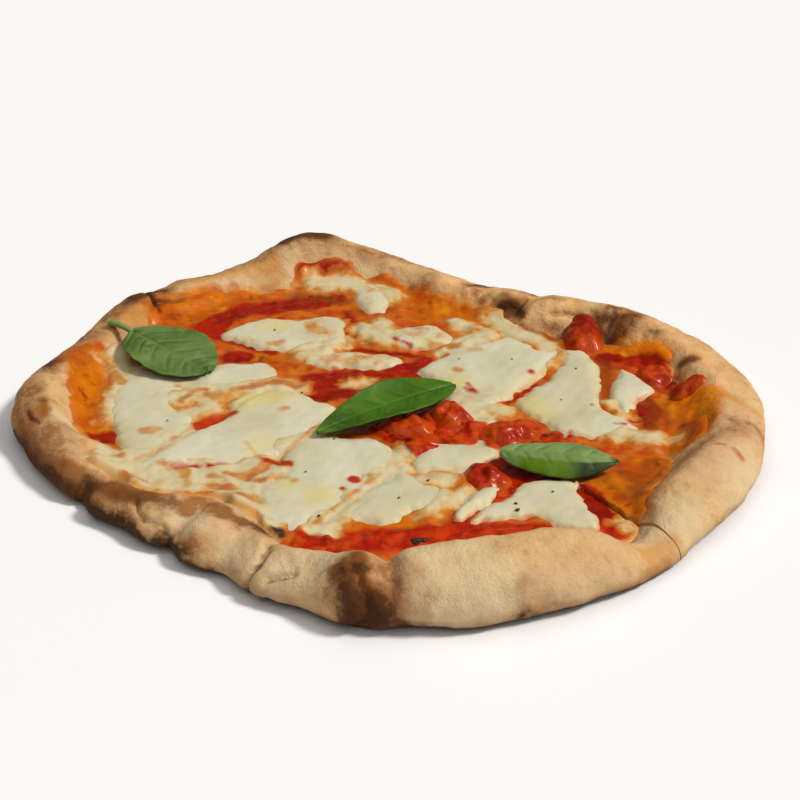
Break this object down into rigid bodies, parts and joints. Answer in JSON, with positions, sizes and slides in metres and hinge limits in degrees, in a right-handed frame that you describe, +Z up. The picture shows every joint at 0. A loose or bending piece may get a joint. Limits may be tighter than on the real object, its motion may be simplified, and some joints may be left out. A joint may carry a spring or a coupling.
{
  "type": "margherita pizza",
  "caption": "Hand-stretched round pizza with an uneven raised crust, tomato sauce, melted mozzarella patches, tomato pieces and basil leaves, with one open knife cut.",
  "frame": {"origin": "under the middle of the pizza, on the surface that it rests on", "axes": "+Z up, +X to the right and +Y away from a diner who has the thick front of the crust and the open cut at the front right"},
  "size_m": [0.2988, 0.2908, 0.0262],
  "materials": {
    "crust": "matte",
    "sauce": "satin",
    "mozzarella": "satin",
    "tomato": "gloss",
    "basil": "satin"
  },
  "bodies": {
    "root": {"crust": "crust", "sauce": "sauce", "tomato_middle": "tomato", "tomato_under_leaf": "tomato", "tomato_torn": "tomato", "tomato_front": "tomato", "tomato_on_the_rim": "tomato", "tomato_east": "tomato", "tomato_east_edge": "tomato", "mozzarella_west": "mozzarella", "mozzarella_inner_west": "mozzarella", "mozzarella_middle": "mozzarella", "mozzarella_south": "mozzarella", "mozzarella_south_small": "mozzarella", "mozzarella_centre_small": "mozzarella", "mozzarella_south_east": "mozzarella", "mozzarella_strip": "mozzarella", "mozzarella_north_east": "mozzarella", "mozzarella_east": "mozzarella", "mozzarella_far_east": "mozzarella", "mozzarella_north_west": "mozzarella", "mozzarella_north_middle": "mozzarella", "mozzarella_north": "mozzarella", "mozzarella_far_middle": "mozzarella", "basil_west": "basil", "basil_centre": "basil", "basil_east": "basil"}
  },
  "joints": []
}
